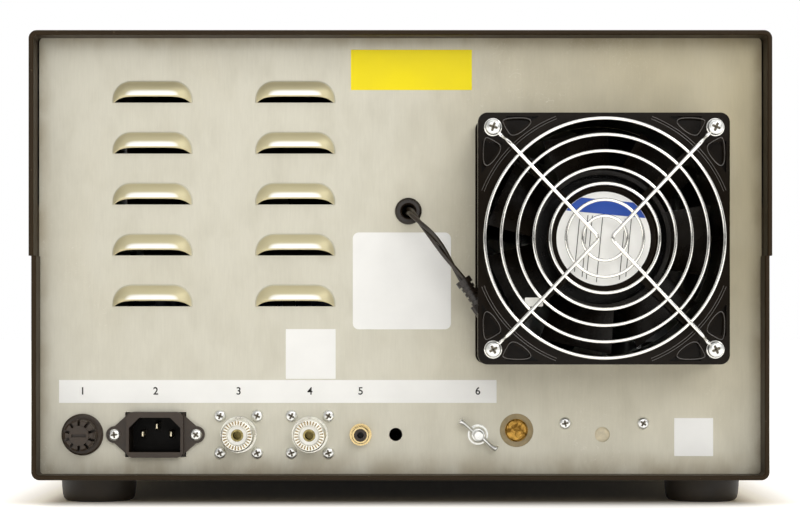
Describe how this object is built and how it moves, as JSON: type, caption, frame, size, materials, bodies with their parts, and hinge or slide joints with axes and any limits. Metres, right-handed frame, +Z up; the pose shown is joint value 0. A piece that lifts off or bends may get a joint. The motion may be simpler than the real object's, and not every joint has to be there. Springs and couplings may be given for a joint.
{
  "type": "linear amplifier",
  "caption": "Desktop linear amplifier for short-wave radio in a folded steel case: louvred rear panel with a fan and sockets, front panel with knobs, meters and rockers.",
  "frame": {"origin": "on the table, under the middle of the box that holds the object", "axes": "+X to the right as the rear panel is seen, +Y from the rear panel to the front panel, +Z up"},
  "size_m": [0.3622, 0.405, 0.2305],
  "materials": {
    "painted_steel": "satin dark bronze paint",
    "bare_aluminium": "brushed, aged sheet",
    "front_paint": "satin paint",
    "chassis_aluminium": "mill finish",
    "black_rubber": "moulded rubber",
    "black_moulding": "moulded plastic",
    "knob_plastic": "moulded phenolic",
    "bright_wire": "bright plated wire",
    "zinc_steel": "zinc plated fasteners",
    "dark_screw": "painted screws",
    "nickel_shell": "nickel plated brass",
    "contact_brass": "plated contacts",
    "white_insulator": "white insulator",
    "gold_shell": "gold plated sleeve",
    "clear_glass": "clear glass",
    "ceramic": "glazed ceramic former",
    "transformer_wrap": "polyester tape",
    "capacitor_sleeve": "shrunk sleeve",
    "circuit_board": "glass epoxy board",
    "lamp_red": "tinted lens",
    "needle_paint": "painted pointer",
    "rocker_black": "moulded rocker",
    "lead_sheath": "soft insulation"
  },
  "bodies": {
    "root": {"upper_cover": "painted_steel", "lower_cover": "painted_steel", "rubber_feet": "black_rubber", "chassis_tray": "chassis_aluminium", "case_screws": "dark_screw", "rear_panel": "bare_aluminium", "front_panel": "front_paint", "fan_frame": "black_moulding", "fan_spider": "black_moulding", "finger_guard": "bright_wire", "fan_screws": "zinc_steel", "cable_grommet": "black_rubber", "fan_plug": "black_moulding", "fan_lead": "lead_sheath", "fuse_holder": "black_moulding", "inlet_housing": "black_moulding", "inlet_pins": "contact_brass", "rf_input_socket": "nickel_shell", "rf_output_socket": "nickel_shell", "socket_insulators": "white_insulator", "socket_contacts": "contact_brass", "panel_screws": "zinc_steel", "phono_socket": "gold_shell", "phono_insulator": "black_moulding", "earth_stud": "zinc_steel", "access_bracket": "zinc_steel", "brass_bush": "contact_brass", "transformer": "transformer_wrap", "transformer_clamp": "zinc_steel", "capacitor_board": "circuit_board", "capacitor_bank": "capacitor_sleeve", "valve_deck": "chassis_aluminium", "valve_sockets": "ceramic", "valves": "clear_glass", "anode_clips": "chassis_aluminium", "antenna_relay": "black_moulding", "tank_coil": "ceramic", "capacitor_stators": "chassis_aluminium", "rotary_switches": "ceramic", "meter_cases": "black_moulding", "meter_windows": "clear_glass", "switch_bodies": "black_moulding", "pilot_lamps": "lamp_red"},
    "impeller": {"fan_impeller": "black_moulding"},
    "fuse_carrier": {"fuse_link": "clear_glass"},
    "fuse_cap": {"fuse_cap": "black_moulding"},
    "washer": {"earth_washer": "zinc_steel"},
    "wing_nut": {"wing_nut": "nickel_shell"},
    "tune_control": {"tune_knob": "knob_plastic", "tune_rotor": "chassis_aluminium"},
    "load_control": {"load_knob": "knob_plastic", "load_rotor": "chassis_aluminium"},
    "band_control": {"band_knob": "knob_plastic", "band_shaft": "zinc_steel"},
    "meter_control": {"meter_knob": "knob_plastic", "meter_shaft": "zinc_steel"},
    "plate_needle": {"plate_needle": "needle_paint"},
    "grid_needle": {"grid_needle": "needle_paint"},
    "power_rocker": {"power_rocker": "rocker_black"},
    "operate_rocker": {"operate_rocker": "rocker_black"}
  },
  "joints": [
    {"name": "fan_spin", "type": "hinge", "parent": "root", "child": "impeller", "pos_m": [0.0961, -0.176, 0.1285], "axis": [0, -1, 0], "continuous": true},
    {"name": "fuse_draw", "type": "slide", "parent": "root", "child": "fuse_carrier", "axis": [0, -1, 0], "range_m": [0, 0.035]},
    {"name": "fuse_turn", "type": "hinge", "parent": "fuse_carrier", "child": "fuse_cap", "pos_m": [-0.156, -0.1575, 0.034], "axis": [0, -1, 0], "range_deg": [0, 45]},
    {"name": "washer_lift", "type": "slide", "parent": "root", "child": "washer", "axis": [0, -1, 0], "range_m": [0, 0.00401]},
    {"name": "wing_nut_turn", "type": "hinge", "parent": "washer", "child": "wing_nut", "pos_m": [0.038, -0.1575, 0.034], "axis": [0, -1, 0], "range_deg": [0, 1800]},
    {"name": "tune_turn", "type": "hinge", "parent": "root", "child": "tune_control", "pos_m": [0.137, 0.1725, 0.107], "axis": [0, 1, 0], "range_deg": [-90, 90]},
    {"name": "load_turn", "type": "hinge", "parent": "root", "child": "load_control", "pos_m": [0.062, 0.1725, 0.107], "axis": [0, 1, 0], "range_deg": [-90, 90]},
    {"name": "band_turn", "type": "hinge", "parent": "root", "child": "band_control", "pos_m": [0.1, 0.1725, 0.187], "axis": [0, 1, 0], "range_deg": [0, 150]},
    {"name": "meter_turn", "type": "hinge", "parent": "root", "child": "meter_control", "pos_m": [-0.05, 0.1725, 0.078], "axis": [0, 1, 0], "range_deg": [-60, 60]},
    {"name": "plate_needle_swing", "type": "hinge", "parent": "root", "child": "plate_needle", "pos_m": [-0.125, 0.1725, 0.158], "axis": [0, -1, 0], "range_deg": [0, 90], "stiffness_Nm_per_rad": 0.00005},
    {"name": "grid_needle_swing", "type": "hinge", "parent": "root", "child": "grid_needle", "pos_m": [-0.05, 0.1725, 0.158], "axis": [0, -1, 0], "range_deg": [0, 90], "stiffness_Nm_per_rad": 0.00005},
    {"name": "power_rock", "type": "hinge", "parent": "root", "child": "power_rocker", "pos_m": [-0.148, 0.1725, 0.062], "axis": [1, 0, 0], "range_deg": [0, 16]},
    {"name": "operate_rock", "type": "hinge", "parent": "root", "child": "operate_rocker", "pos_m": [-0.108, 0.1725, 0.062], "axis": [1, 0, 0], "range_deg": [0, 16]}
  ],
  "couplings": [
    {"joint": "washer_lift", "follows": "wing_nut_turn", "m_per_rad": 0.00012732}
  ]
}
